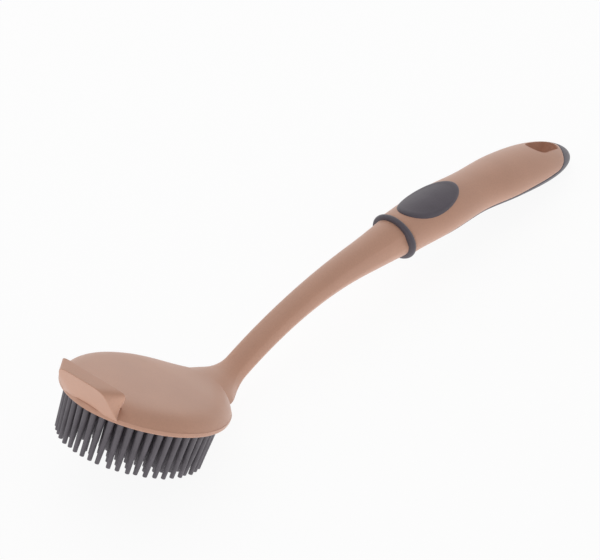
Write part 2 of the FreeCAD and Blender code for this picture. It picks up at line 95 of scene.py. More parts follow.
# Head: distances from its middle, each with the run over which the change is made
DOME_LEVEL_START, DOME_LEVEL_RUN = 11.4, 24.1
NECK_BLEND_START, NECK_BLEND_RUN = 13.6, 30.1
CEILING_BLEND_START = 26.0
DROOP_FADE_START = 35.0
NECK_FADE_START = 12.0
NECK_FLARE_POWER = 2.6
CROWN_FALL = 0.9
DOME_POWER = 11.5
RIM_ROUND = 0.7
RIM_ROUND_SHARE = 0.3
RIM_STEP = 0.3
SKIRT_STEP = 0.06

# Scraping lip
LIP_LOW = 1.1
LIP_FRONT_POWER = 6
LIP_REAR_POWER = 9
LIP_REAR_FOOT = 11.8
LIP_REAR_SPREAD_POWER = 1.7
LIP_REAR_START = 29.5
LIP_INSIDE_END = 25.0
LIP_INSIDE_SHARE = 0.55
LIP_SINK = 0.2
LIP_WALL = 1.0
LIP_BOW = 2.4
LIP_BOW_POWER = 1.4
LIP_EDGE_ROUND = 0.45

# Bristle roots and the edge of the pad's disc
ROOT_SWELL = 1.22
DISC_EDGE_RISES = (0.1, 0.5)

# Collar ring
RING_CROWN = 1.1

# Handle: the keel of the core round the hole, with the runs over which it fades
KEEL_START, KEEL_START_RUN = 82.0, 9.0
KEEL_END, KEEL_END_RUN = 111.0, 2.5
KEEL_HALF_WIDTH, KEEL_SIDE_RUN = 5.8, 1.6
KEEL_SKIN = 1.1
CORE_END_SHARE = 0.929
GRIP_START_SHARE = 0.088
GROOVE_FADE_ANGLE = 0.25
FRONT_EDGE_INSETS = (0.55, 0.22, 0.05)
BUTT_WIDTH_POWER = 2.78
BUTT_THICKNESS_POWER = 2.38
PAD_ROOT = 1.8


def linear(code):
    """Linear red, green and blue of an sRGB hex code."""
    share = np.array([int(code[i:i + 2], 16) for i in (0, 2, 4)]) / 255
    return tuple(np.where(share <= 0.04045, share / 12.92, ((share + 0.055) / 1.055) ** 2.4))


def size(name, description, default):
    """Length property in millimetres."""
    return bpy.props.FloatProperty(name=name, description=description, default=default, min=0.0)


def colour(name, description, code):
    """Colour property from an sRGB hex code."""
    return bpy.props.FloatVectorProperty(
        name=name,
        description=description,
        default=linear(code),
        subtype="COLOR",
        min=0.0,
        max=1.0,
    )


class BrushHead(bpy.types.PropertyGroup):
    """Sizes of the head, lip and neck."""

    half_length: size("Half length", "Half of the rim's length, mm", 34.3)
    half_width: size("Half width", "Half of the rim's width, mm", 31.6)
    wall: size("Wall", "Rim between the outside and the pad's pocket, mm", 2.4)
    band: size("Rim band", "Height of the upright rim band, mm", 1.8)
    crown: size("Crown", "Height of the head's top over its rim, mm", 7.45)
    throat_width: size("Throat width", "Width where the neck leaves the head, mm", 61.6)
    throat_thickness: size("Throat thickness", "Thickness where the neck leaves, mm", 3.85)
    throat_droop: size("Throat droop", "How far the throat's edges hang below its line, mm", 3.0)
    waist_width: size("Waist width", "Width of the neck at its slimmest, mm", 11.0)
    waist_thickness: size("Waist thickness", "Thickness of the neck there, mm", 9.25)
    neck_end: size("Neck end", "Diameter of the neck at the collar, mm", 17.3)
    lip_reach: size("Lip reach", "How far the lip's edge lies before the middle, mm", 42.1)
    lip_back: size("Lip back", "How far the lip's rear edge lies before the middle, mm", 35.2)
    lip_height: size("Lip height", "Height of the lip's top over the rim, mm", 13.8)
    lip_drop: size("Lip drop", "How far the scraping edge lies below the lip's top, mm", 1.2)
    lip_edge: size("Lip edge", "Half width of the scraping edge, mm", 11.6)
    lip_rear: size("Lip rear", "Half width of the lip's rear edge, mm", 17.2)
    lip_foot: size("Lip foot", "Half width of the lip where it meets the rim, mm", 13.5)


class BrushBristles(bpy.types.PropertyGroup):
    """Sizes of the bristle pad."""

    length: size("Length", "Length of the bristles below the rim, mm", 18.8)
    root: size("Root", "Diameter of a bristle at its root, mm", 2.8)
    tip: size("Tip", "Diameter of a bristle at its tip, mm", 1.8)
    margin: size("Margin", "Distance of the outer bristles from the pocket's wall, mm", 1.8)
    rings: bpy.props.IntProperty(name="Rings", description="Rings of bristles", default=6)
    per_ring: bpy.props.IntProperty(
        name="Step", description="More bristles on each ring than on the last", default=8)
    drawn_in: bpy.props.FloatProperty(
        name="Drawn in", description="Share of the roots' spacing at the tips", default=0.965)
    swept: size("Swept", "How far the tips are swept towards the lip, mm", 0.5)
    stray: size("Stray", "How far a bristle's tip strays from its place, mm", 0.28)
    cut: size("Cut edge", "Rounding of a bristle's cut end, mm", 0.3)


class BrushHandle(bpy.types.PropertyGroup):
    """Sizes of the handle and of the soft pieces on it."""

    ring: size("Collar ring", "Diameter of the collar ring, mm", 21.6)
    ring_bore: size("Ring bore", "Diameter of the ring's bore, mm", 15.3)
    pad_length: size("Pad length", "Length of the thumb pad, mm", 35.0)
    pad_width: size("Pad width", "Width of the thumb pad, mm", 17.6)
    pad_centre: size("Pad centre", "Distance of the pad's middle from the collar, mm", 19.5)
    pad_proud: size("Pad proud", "How far the pad stands out of the handle, mm", 0.8)
    groove: size("Groove", "Depth of the groove along the parting line, mm", 0.3)
    hole_radius: size("Hole radius", "Radius of the hanging hole's round end, mm", 5.2)
    hole_tip: size("Hole tip", "Radius of the hanging hole's narrower end, mm", 4.2)
    hole_length: size("Hole length", "Length of the hanging hole, mm", 19.3)
    hole_margin: size("Hole margin", "Distance of the hole from the butt's end, mm", 11.2)


class BrushColours(bpy.types.PropertyGroup):
    """Colours of the finishes."""

    taupe: colour("Plastic", "Moulded plastic of the head, neck and handle", "B68A74")
    grey: colour("Soft grip", "Soft grey of the ring, thumb pad and grip", "453E47")
    silicone: colour("Bristles", "Grey of the bristles", "5C575D")
    carrier: colour("Carrier", "Dark plastic behind the pad", "3A3638")
    floor: colour("Floor", "Pale floor", "F4F4F4")


class BrushStage(bpy.types.PropertyGroup):
    """Camera and light."""

    azimuth: bpy.props.FloatProperty(
        name="Azimuth", description="Turn of the camera round the brush", subtype="ANGLE",
        default=math.radians(-51.655))
    elevation: bpy.props.FloatProperty(
        name="Elevation", description="Angle of the camera above the floor", subtype="ANGLE",
        default=math.radians(38.311))
    roll: bpy.props.FloatProperty(
        name="Roll", description="Turn of the picture", subtype="ANGLE",
        default=math.radians(2.74))
    distance: bpy.props.FloatProperty(
        name="Distance", description="Distance of the camera from its aim", default=0.98267,
        unit="LENGTH")
    aim: bpy.props.FloatVectorProperty(
        name="Aim", description="Point the camera looks at", default=(-0.020252, 0.0, 0.014898),
        subtype="XYZ_LENGTH")
    lens: bpy.props.FloatProperty(name="Lens", description="Focal length, mm", default=149.03)
    shift: bpy.props.FloatVectorProperty(
        name="Shift", description="Shift of the picture", size=2, default=(-0.02157, 0.04911))
    key: bpy.props.FloatProperty(
        name="Key", description="Power of the overhead softbox", default=2.2, unit="POWER")
    side: bpy.props.FloatProperty(
        name="Side", description="Power of the softbox beside the head", default=0.5, unit="POWER")
    rim: bpy.props.FloatProperty(
        name="Rim", description="Power of the softbox behind", default=1.2, unit="POWER")
    sky: bpy.props.FloatProperty(
        name="Sky", description="Strength of the even light", default=0.6)
    bounce: bpy.props.FloatProperty(
        name="Bounce", description="Strength of the light that the floor sends up", default=1.6)


def smooth_step(share):
    share = np.clip(share, 0.0, 1.0)
    return share * share * (3 - 2 * share)


def centre_line(distance):
    """Places (x, z) and lean of the middle line.

    It is a chain of tangent arcs: each span turns evenly from the lean before it to its own,
    and a run along an arc is its chord, at the mean of the two leans.
    """
    distance = np.asarray(distance, float)
    x = np.minimum(distance, 0.0)
    z = np.full(distance.shape, LINE_HEIGHT)
    lean = np.zeros(distance.shape)
    gone, start = 0.0, 0.0
    for length, end in SPANS:
        end = math.radians(end)
        run = np.clip(distance - gone, 0.0, length)
        turn = (end - start) * run / length
        chord = run * np.sinc(turn / (2 * np.pi))
        x = x + chord * np.cos(start + turn / 2)
        z = z + chord * np.sin(start + turn / 2)
        lean = lean + turn
        gone, start = gone + length, end
    return x, z, lean


def on_line(distance, across, upward):
    """Points beside the middle line: across to +Y, and upward square to the line."""
    x, z, lean = centre_line(distance)
    return np.stack(np.broadcast_arrays(
        x - upward * np.sin(lean), across, z + upward * np.cos(lean)), axis=-1)


def slanted(distance, upward, fade):
    """Distance along the line of a point in a section that is slanted near the collar.

    The section's top leans towards the head by the tangent of the collar's slant, and the
    slant fades by a smooth step of the way from the ring's middle.
    """
    way = np.abs(distance - NECK_LENGTH - RING_WIDTH / 2) - RING_WIDTH / 2
    return distance - upward * math.tan(COLLAR_SLANT) * smooth_step(1 - way / fade)


def lying():
    """Turn about Y and shift that lay the drawing frame where the CAD's nodes lie.

    The middles of the carrier and of the collar ring are known in both frames: the angle
    between the two lines through them is the turn, and their places then give the shift.
    """
    low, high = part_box("pad_carrier")
    carrier = np.array((low + high) / 2) / MM
    low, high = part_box("collar_ring")
    ring = np.array((low + high) / 2) / MM
    x, z, _ = centre_line(NECK_LENGTH + RING_WIDTH / 2)
    drawn = math.atan2(z - CARRIER_MIDDLE, x)
    laid = math.atan2(ring[2] - carrier[2], ring[0] - carrier[0])
    turn = drawn - laid
    shift = carrier - np.array([math.sin(turn), 0.0, math.cos(turn)]) * CARRIER_MIDDLE
    return turn, shift


LYING_TURN, LYING_SHIFT = lying()


def laid_down(points):
    """Drawing frame in millimetres to the part's frame in metres."""
    points = points.reshape(-1, 3)
    cosine, sine = math.cos(LYING_TURN), math.sin(LYING_TURN)
    turned = np.stack([
        points[:, 0] * cosine + points[:, 2] * sine,
        points[:, 1],
        points[:, 2] * cosine - points[:, 0] * sine,
    ], axis=-1)
    return (turned + LYING_SHIFT) * MM


def grid_faces(rows, columns):
    """Quads of a tube: points are numbered row by row, and each row closes on itself."""
    row = np.arange(rows - 1)[:, None] * columns
    here = np.arange(columns)[None, :]
    after = (here + 1) % columns
    return np.stack([
        row + here, row + after, row + columns + after, row + columns + here,
    ], axis=-1).reshape(-1, 4)


def tube(loops):
    """Shell from an array of loops (rows, columns, 3), closed at both ends by a middle point."""
    first = np.broadcast_to(loops[:1].mean(axis=1, keepdims=True), loops[:1].shape)
    last = np.broadcast_to(loops[-1:].mean(axis=1, keepdims=True), loops[-1:].shape)
    loops = np.concatenate([first, loops, last])
    rows, columns = loops.shape[:2]
    return loops.reshape(-1, 3), grid_faces(rows, columns)


def joined(shells):
    """One list of points and faces from several shells."""
    points, faces, count = [], [], 0
    for shell_points, shell_faces in shells:
        points.append(shell_points)
        faces.append(shell_faces + count)
        count += len(shell_points)
    return np.concatenate(points), np.concatenate(faces)


def make_mesh(name, shells, crease):
    """Mesh object of closed shells in the part's frame, with doubles merged and normals out.

    Edges that bend by more than the crease, in degrees, stay sharp.
    """
    points, faces = joined(shells)
    mesh = bpy.data.meshes.new(name)
    mesh.from_pydata(laid_down(points).tolist(), [], faces.tolist())
    work = bmesh.new()
    work.from_mesh(mesh)
    bmesh.ops.remove_doubles(work, verts=work.verts, dist=MERGE_DISTANCE * MM)
    bmesh.ops.dissolve_degenerate(work, edges=work.edges, dist=MERGE_DISTANCE * MM)
    bmesh.ops.recalc_face_normals(work, faces=work.faces)
    work.to_mesh(mesh)
    work.free()
    mesh.shade_smooth()
    mesh.set_sharp_from_angle(angle=math.radians(crease))
    piece = bpy.data.objects.new(name, mesh)
    bpy.context.scene.collection.objects.link(piece)
    return piece


def settle(piece, node, material):
    """Give a piece its material and body, and hide the CAD node that it stands for."""
    piece.data.materials.clear()
    piece.data.materials.append(material)
    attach(piece, BODY)
    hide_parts(node)


def add_node(tree, kind, links=None, **settings):
    """Node with settings: a key that names an input sets it, another sets a property.

    links maps an input's name or number to the socket that feeds it.
    """
    made = tree.nodes.new(kind)
    for key, value in settings.items():
        if hasattr(made, key):
            setattr(made, key, value)
        else:
            made.inputs[key.replace("_", " ").title().replace("Ior", "IOR")].default_value = value
    for key, socket in (links or {}).items():
        tree.links.new(socket, made.inputs[key])
    return made


def new_material(name):
    """Node material with only an output."""
    material = bpy.data.materials.new(name)
    material.use_nodes = True
    material.node_tree.nodes.clear()
    return material, material.node_tree


def per_millimetre(width):
    """Texture scale in Object coordinates, in metres, for features of a width in mm."""
    return 1 / (width * MM)


def shaded(base, light):
    """Colour with its value multiplied, alpha 1."""
    return (base[0] * light, base[1] * light, base[2] * light, 1.0)


def moulded_plastic(name, base):
    """Polypropylene moulded in a spark-eroded tool: an even matte skin with a fine grain.

    The grain is 0.3 mm in the tool and is drawn at 0.7 mm, so that it shows in the render. A
    broad, weak mottle is the flow of the pigment. The eye sees a soft broad highlight.
    """
    material, tree = new_material(name)
    place = add_node(tree, "ShaderNodeTexCoord").outputs["Object"]
    flow = add_node(tree, "ShaderNodeTexNoise", {"Vector": place},
                    scale=per_millimetre(26.0), detail=3.0, roughness=0.55)
    grain = add_node(tree, "ShaderNodeTexNoise", {"Vector": place},
                     scale=per_millimetre(0.7), detail=2.0, roughness=0.6)
    tone = add_node(tree, "ShaderNodeValToRGB", {"Fac": flow.outputs["Fac"]})
    tone.color_ramp.elements[0].position, tone.color_ramp.elements[1].position = 0.3, 0.7
    tone.color_ramp.elements[0].color = shaded(base, 0.95)
    tone.color_ramp.elements[1].color = shaded(base, 1.04)
    fleck = add_node(tree, "ShaderNodeMapRange", {"Value": grain.outputs["Fac"]})
    fleck.inputs["From Min"].default_value, fleck.inputs["From Max"].default_value = 0.3, 0.7
    fleck.inputs["To Min"].default_value, fleck.inputs["To Max"].default_value = 0.965, 1.03
    tint = add_node(tree, "ShaderNodeVectorMath",
                    {0: tone.outputs["Color"], 1: fleck.outputs["Result"]}, operation="MULTIPLY")
    rough = add_node(tree, "ShaderNodeMapRange", {"Value": grain.outputs["Fac"]})
    rough.inputs["To Min"].default_value, rough.inputs["To Max"].default_value = 0.44, 0.56
    bump = add_node(tree, "ShaderNodeBump", {"Height": grain.outputs["Fac"]},
                    strength=0.16, distance=0.2 * MM)
    skin = add_node(tree, "ShaderNodeBsdfPrincipled", {
        "Base Color": tint.outputs["Vector"],
        "Roughness": rough.outputs["Result"],
        "Normal": bump.outputs["Normal"],
    }, ior=1.49, sheen_weight=0.22, sheen_roughness=0.4)
    add_node(tree, "ShaderNodeOutputMaterial", {"Surface": skin.outputs["BSDF"]})
    return material


def soft_rubber(name, base):
    """Thermoplastic rubber moulded over the handle: matte, slightly velvety, finely stippled.

    The stipple is 0.4 mm and is drawn at 0.8 mm to show. A little sheen greys the edges.
    """
    material, tree = new_material(name)
    place = add_node(tree, "ShaderNodeTexCoord").outputs["Object"]
    stipple = add_node(tree, "ShaderNodeTexNoise", {"Vector": place},
                       scale=per_millimetre(0.8), detail=2.0, roughness=0.5)
    wear = add_node(tree, "ShaderNodeTexNoise", {"Vector": place},
                    scale=per_millimetre(9.0), detail=4.0, roughness=0.6)
    tone = add_node(tree, "ShaderNodeValToRGB", {"Fac": wear.outputs["Fac"]})
    tone.color_ramp.elements[0].position, tone.color_ramp.elements[1].position = 0.3, 0.72
    tone.color_ramp.elements[0].color = shaded(base, 0.9)
    tone.color_ramp.elements[1].color = shaded(base, 1.1)
    rough = add_node(tree, "ShaderNodeMapRange", {"Value": stipple.outputs["Fac"]})
    rough.inputs["To Min"].default_value, rough.inputs["To Max"].default_value = 0.55, 0.7
    bump = add_node(tree, "ShaderNodeBump", {"Height": stipple.outputs["Fac"]},
                    strength=0.2, distance=0.2 * MM)
    skin = add_node(tree, "ShaderNodeBsdfPrincipled", {
        "Base Color": tone.outputs["Color"],
        "Roughness": rough.outputs["Result"],
        "Normal": bump.outputs["Normal"],
    }, ior=1.5, sheen_weight=0.2, sheen_roughness=0.45)
    add_node(tree, "ShaderNodeOutputMaterial", {"Surface": skin.outputs["BSDF"]})
    return material


def moulded_silicone(name, base):
    """Silicone rubber moulded in polished cavities: satin, with a soft highlight down each
    bristle and a faint bloom that changes from bristle to bristle."""
    material, tree = new_material(name)
    place = add_node(tree, "ShaderNodeTexCoord").outputs["Object"]
    bloom = add_node(tree, "ShaderNodeTexNoise", {"Vector": place},
                     scale=per_millimetre(4.5), detail=3.0, roughness=0.6)
    tone = add_node(tree, "ShaderNodeValToRGB", {"Fac": bloom.outputs["Fac"]})
    tone.color_ramp.elements[0].position, tone.color_ramp.elements[1].position = 0.28, 0.74
    tone.color_ramp.elements[0].color = shaded(base, 0.82)
    tone.color_ramp.elements[1].color = shaded(base, 1.16)
    rough = add_node(tree, "ShaderNodeMapRange", {"Value": bloom.outputs["Fac"]})
    rough.inputs["To Min"].default_value, rough.inputs["To Max"].default_value = 0.36, 0.5
    skin = add_node(tree, "ShaderNodeBsdfPrincipled", {
        "Base Color": tone.outputs["Color"],
        "Roughness": rough.outputs["Result"],
    }, ior=1.41)
    add_node(tree, "ShaderNodeOutputMaterial", {"Surface": skin.outputs["BSDF"]})
    return material


def material_once(name, make, base):
    """Material by name, made on its first use."""
    return bpy.data.materials.get(name) or make(name, base)


def taupe_plastic(scene):
    return material_once("taupe_polypropylene", moulded_plastic, scene.brush_colours.taupe)


def grey_rubber(scene):
    return material_once("grey_soft_rubber", soft_rubber, scene.brush_colours.grey)


def neck_halves(head, distance):
    """Half width and half thickness of the neck.

    The throat's size fades to the waist's by one less a smooth step, and the waist
    flares to the collar by a power of the way gone since.
    """
    waist = SPANS[0][0] + SPANS[1][0]
    fade = 1 - smooth_step((distance - NECK_FADE_START) / (waist - NECK_FADE_START))
    flare = np.clip((distance - waist) / (NECK_LENGTH - waist), 0, 1) ** NECK_FLARE_POWER
    width = (head.waist_width + (head.throat_width - head.waist_width) * fade
             + (head.neck_end - head.waist_width) * flare)
    thickness = (head.waist_thickness + (head.throat_thickness - head.waist_thickness) * fade
                 + (head.neck_end - head.waist_thickness) * flare)
    return width / 2, thickness / 2


def head_shell(head):
    """Head and neck as one profile carried along the middle line.

    At each station the half profile runs from the pocket's ceiling out to its wall, down to
    the rim, round the rim's edge, up the rim band and over the dome. The dome's height is the
    crown's less a square and a high power of the share of the way out to the rim; towards
    the neck only the way out sideways counts, so that the top runs on level into the throat.
    From there the profile turns smoothly into the neck's ellipse, point by point at the same
    share of the half width. The throat's edges hang below its line by the square of that share.
    """
    a, b = head.half_length, head.half_width
    pocket_a, pocket_b = a - head.wall, b - head.wall
    throat, crown = SPANS[0][0], head.crown
    station = np.concatenate([
        -a * np.cos(np.linspace(0, np.pi / 2, 34)),
        np.linspace(0, pocket_a, 37)[1:],
        np.linspace(pocket_a + ROW_STEP, throat, 13),
        np.linspace(throat, NECK_LENGTH, 64)[1:],
    ])[:, None]
    share = np.clip(station / a, -1.0, 0.999)
    half = b * np.sqrt(1 - share ** 2)
    pocket = pocket_b * np.sqrt(np.clip(1 - (station / pocket_a) ** 2, 0, None))
    round_edge = np.minimum(RIM_ROUND, RIM_ROUND_SHARE * half)

    out = np.sin(np.linspace(0, np.pi / 2, 15))[None, :]
    under_y = pocket + (half - round_edge - pocket) * out
    under_z = np.zeros_like(under_y)
    turn = np.linspace(-np.pi / 2, 0, 6)[None, 1:]
    edge_y = half - round_edge + round_edge * np.cos(turn)
    edge_z = round_edge + round_edge * np.sin(turn)
    band_y, band_z = half, np.full_like(half, head.band)
    across = np.sin(np.linspace(np.pi / 2, 0, 34))[None, :]
    lengthways = share * (1 - smooth_step((station - DOME_LEVEL_START) / DOME_LEVEL_RUN))
    rim_share = np.sqrt(lengthways ** 2 + across ** 2 * (1 - lengthways ** 2))
    dome_y = np.maximum(half - RIM_STEP, 0.0) * across
    skirt = crown - CROWN_FALL - head.band - SKIRT_STEP
    dome_z = crown - CROWN_FALL * rim_share ** 2 - skirt * rim_share ** DOME_POWER
    outer_y = np.concatenate([under_y, edge_y, band_y, dome_y], axis=1)
    outer_z = np.concatenate([under_z, edge_z, band_z, dome_z], axis=1)

    wide, thick = neck_halves(head, station)
    outward = np.clip(outer_y / np.maximum(half, 1e-6), 0, 1)
    side = np.ones(outer_y.shape[1])
    side[:under_y.shape[1] + edge_y.shape[1]] = -1.0
    bar_y = wide * outward
    droop_run = throat + SPANS[1][0] - DROOP_FADE_START
    hang = head.throat_droop * (1 - smooth_step((station - DROOP_FADE_START) / droop_run))
    bar_z = side * thick * np.sqrt(1 - outward ** 2) - hang * outward ** 2
    blend = smooth_step((station - NECK_BLEND_START) / NECK_BLEND_RUN)
    ease = np.ones_like(outer_y)
    inner = smooth_step((station - CEILING_BLEND_START) / (pocket_a - CEILING_BLEND_START))
    ease[:, :out.size] = out ** 2 + (1 - out ** 2) * inner
    blend = blend * ease
    outer_y = outer_y + (bar_y - outer_y) * blend
    outer_z = (outer_z - LINE_HEIGHT) * (1 - blend) + bar_z * blend

    lip_y, lip_z = outer_y[:, :1], outer_z[:, :1]
    inside = np.abs(station) < pocket_a
    ceiling_z = np.where(inside, SEAT_HEIGHT - LINE_HEIGHT, lip_z)
    ceiling = np.linspace(0, 1, 6)[None, :]
    ceiling_y = np.where(inside, pocket, 0.0) * ceiling
    y = np.concatenate([ceiling_y, lip_y, outer_y[:, 1:]], axis=1)
    z = np.concatenate([ceiling_z + 0 * ceiling, lip_z, outer_z[:, 1:]], axis=1)
    y = np.concatenate([y, -y[:, -2:0:-1]], axis=1)
    z = np.concatenate([z, z[:, -2:0:-1]], axis=1)
    return tube(on_line(slanted(station, z, NECK_SLANT_FADE), y, z))


def rounded_loops(corners, radius, side_count, corner_count):
    """Closed loops (rows, points, axes) round rows of corners, with each corner eased by the
    quadratic curve whose middle control point is the corner."""
    after = np.roll(corners, -1, axis=1)
    way = after - corners
    way = way / np.linalg.norm(way, axis=-1, keepdims=True)
    start = corners + way * radius
    end = after - way * radius
    along = np.linspace(0, 1, side_count)[None, None, :, None]
    sides = start[:, :, None] + (end - start)[:, :, None] * along
    t = np.linspace(0, 1, corner_count + 2)[1:-1][None, None, :, None]
    following = np.roll(start, -1, axis=1)
    bends = ((1 - t) ** 2 * end[:, :, None] + 2 * t * (1 - t) * after[:, :, None]
             + t ** 2 * following[:, :, None])
    return np.concatenate([sides, bends], axis=2).reshape(len(corners), -1, corners.shape[-1])


def lip_shell(head):
    """Scraping lip: a four-cornered loop carried from one foot over the top to the other.

    The front corners follow a superellipse on the lip's leaning front, whose half width grows
    towards the foot and which bows back there with the rim. The rear corners follow one of a
    higher power, whose half width grows with a power of the height. The band between the two
    edges is ruled, and the other two corners lie inside the head.
    """
    across = np.linspace(0, 0.84, 16) ** LIP_FRONT_POWER
    upward = np.linspace(0.92, 0, 26) ** LIP_FRONT_POWER
    wide = np.concatenate([across, 1 - upward])
    tall = 1 - wide
    front_rise, rear_rise = tall ** (1 / LIP_FRONT_POWER), tall ** (1 / LIP_REAR_POWER)
    front_z = LIP_LOW + (head.lip_height - head.lip_drop - LIP_LOW) * front_rise
    rear_z = LIP_LOW + (head.lip_height - LIP_LOW) * rear_rise
    front_y = head.lip_foot + (head.lip_edge - head.lip_foot) * front_rise
    front_y = front_y * wide ** (1 / LIP_FRONT_POWER)
    rear_y = LIP_REAR_FOOT + (head.lip_rear - LIP_REAR_FOOT) * rear_rise ** LIP_REAR_SPREAD_POWER
    rear_y = rear_y * wide ** (1 / LIP_REAR_POWER)
    start = head.half_length - LIP_SINK
    bow = LIP_BOW * (1 - front_rise) ** LIP_BOW_POWER * (front_y / head.lip_foot) ** 2
    front_x = -start - (head.lip_reach - start) * front_rise + bow
    rear_x = -LIP_REAR_START - (head.lip_back - LIP_REAR_START) * rear_rise
    low = np.full_like(front_y, LIP_LOW)
    half = np.stack([
        np.stack([front_x, front_y, front_z], axis=-1),
        np.stack([rear_x, rear_y, rear_z], axis=-1),
        np.stack([np.full_like(low, -LIP_INSIDE_END), LIP_INSIDE_SHARE * rear_y, low], axis=-1),
        np.stack([np.full_like(low, LIP_WALL - start), LIP_INSIDE_SHARE * front_y, low], axis=-1),
    ], axis=1)
    mirrored = half[:0:-1] * np.array([1.0, -1.0, 1.0])
    return tube(rounded_loops(np.concatenate([mirrored, half]), LIP_EDGE_ROUND, 12, 4))


class MESH_OT_brush_head(bpy.types.Operator):
    """Make the head, its scraping lip and the neck"""

    bl_idname = "mesh.brush_head"
    bl_label = "Head and neck"

    def execute(self, context):
        head = context.scene.brush_head
        piece = make_mesh("head_neck_moulding", [head_shell(head), lip_shell(head)], crease=38)
        settle(piece, "head_and_neck", taupe_plastic(context.scene))
        return {"FINISHED"}


def bristle_shells(head, bristles):
    """Bristles as tapered tubes with cut ends, on rings that grow by the same count.

    A bristle's axis runs down to a tip that is drawn in towards the middle, swept towards the
    lip and strays by the square of the way down. Its radius falls evenly from root to tip,
    swells at the root, and rounds off into the cut end by a quarter circle.
    """
    half_a = head.half_length - head.wall - bristles.margin
    half_b = head.half_width - head.wall - bristles.margin
    ring = np.concatenate([
        np.full(bristles.per_ring * number, number) for number in range(1, bristles.rings + 1)])
    order = np.concatenate([
        np.arange(bristles.per_ring * number) for number in range(1, bristles.rings + 1)])
    angle = 2 * np.pi * (order + 0.5) / (bristles.per_ring * ring)
    root = np.stack([half_a * np.cos(angle), half_b * np.sin(angle)], axis=-1)
    root = np.concatenate([np.zeros((1, 2)), root * (ring / bristles.rings)[:, None]])
    stray = np.random.default_rng(SEED).normal(0.0, bristles.stray, root.shape)
    stray = np.clip(stray, -2 * bristles.stray, 2 * bristles.stray)

    fall = bristles.length + PAD_RECESS - bristles.cut
    way = np.concatenate([[-0.05, 0.0, 0.05, 0.5], np.ones(3)])
    curl = np.concatenate([np.zeros(4), np.radians([0.0, 45.0, 90.0])])
    height = PAD_RECESS - fall * way - bristles.cut * np.sin(curl)
    radius = bristles.root / 2 + (bristles.tip - bristles.root) / 2 * np.clip(way, 0, 1)
    radius = radius - bristles.cut * (1 - np.cos(curl))
    radius[:2] = radius[:2] * ROOT_SWELL
    around = np.linspace(0, 2 * np.pi, 10, endpoint=False)
    down = np.clip(way, 0, 1)[None, :, None]
    moved = root * (bristles.drawn_in - 1) - np.array([bristles.swept, 0.0])
    centre = root[:, None, :] + down * moved[:, None, :] + down ** 2 * stray[:, None, :]
    x = centre[..., 0][..., None] + radius[None, :, None] * np.cos(around)
    y = centre[..., 1][..., None] + radius[None, :, None] * np.sin(around)
    z = np.broadcast_to(height[None, :, None], x.shape)
    loops = np.stack([x, y, z], axis=-1)
    return [tube(loop) for loop in loops]


def pad_disc_shell(head):
    """Oval disc of the pad: rings that run out along its underside, round its edge and back."""
    a = head.half_length - head.wall - FIT_GAP
    b = head.half_width - head.wall - FIT_GAP
    out = np.array([0.35, 0.7, 0.96, 0.99, 1.0, 1.0, 0.7])
    edge = [PAD_RECESS + rise for rise in DISC_EDGE_RISES]
    height = np.array([PAD_RECESS] * 3 + edge + [SEAT_HEIGHT] * 2)
    around = np.linspace(0, 2 * np.pi, 96, endpoint=False)
    return tube(np.stack(np.broadcast_arrays(
        a * out[:, None] * np.cos(around), b * out[:, None] * np.sin(around), height[:, None],
    ), axis=-1))


class MESH_OT_brush_bristles(bpy.types.Operator):
    """Make the bristle pad"""

    bl_idname = "mesh.brush_bristles"
    bl_label = "Bristle pad"

    def execute(self, context):
        scene = context.scene
        shells = bristle_shells(scene.brush_head, scene.brush_bristles)
        shells.append(pad_disc_shell(scene.brush_head))
        piece = make_mesh("bristle_field", shells, crease=50)
        material = material_once("grey_silicone", moulded_silicone, scene.brush_colours.silicone)
        settle(piece, "bristle_pad", material)
        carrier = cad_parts["pad_carrier"]
        carrier.data.materials.clear()
        carrier.data.materials.append(material_once(
            "dark_polypropylene", moulded_plastic, scene.brush_colours.carrier))
        return {"FINISHED"}


class MESH_OT_brush_ring(bpy.types.Operator):
    """Make the collar ring"""

    bl_idname = "mesh.brush_ring"
    bl_label = "Collar ring"

    def execute(self, context):
        """Turned ring: a flat bore, flat sides and an outside that is half a flattened circle."""
        handle = context.scene.brush_handle
        bore, outside = handle.ring_bore / 2, handle.ring / 2
        middle = RING_WIDTH / 2
        bulge = np.linspace(-np.pi / 2, np.pi / 2, 15)
        side = outside - RING_CROWN
        along = middle + (middle - ROW_STEP) * np.sin(bulge)
        along = np.concatenate([[0.0, ROW_STEP], along, [RING_WIDTH]])
        radius = np.concatenate([[bore, bore], side + RING_CROWN * np.cos(bulge), [bore]])
        around = np.linspace(0, 2 * np.pi, 72, endpoint=False)
        upward = radius[:, None] * math.cos(COLLAR_SLANT) * np.sin(around)
        loops = on_line(
            slanted(NECK_LENGTH + along[:, None], upward, RING_WIDTH),
            radius[:, None] * np.cos(around),
            upward,
        )
        loops = np.concatenate([loops, loops[:1]])
        rows, columns = loops.shape[:2]
        shell = loops.reshape(-1, 3), grid_faces(rows, columns)
        piece = make_mesh("collar_band", [shell], crease=45)
        settle(piece, "collar_ring", grey_rubber(context.scene))
        return {"FINISHED"}


HANDLE_MARKS = (
    (0.0, 20.3, 18.9),
    (0.22, 24.1, 18.4),
    (0.40, 22.5, 17.2),
    (0.60, 25.1, 18.05),
)
PARTING_SHARES = (
    0.02, 0.10, 0.18, 0.285, 0.41, 0.543, 0.638, 0.733, 0.80, 0.845, 0.868, 0.888, 0.908, 0.94)
PARTING_HEIGHT_SHARES = (
    -1.3, -0.95, -0.57, -0.43, -0.40, -0.37, -0.25, -0.14, -0.05, 0.06, 0.3, 0.66, 0.91, 1.05)


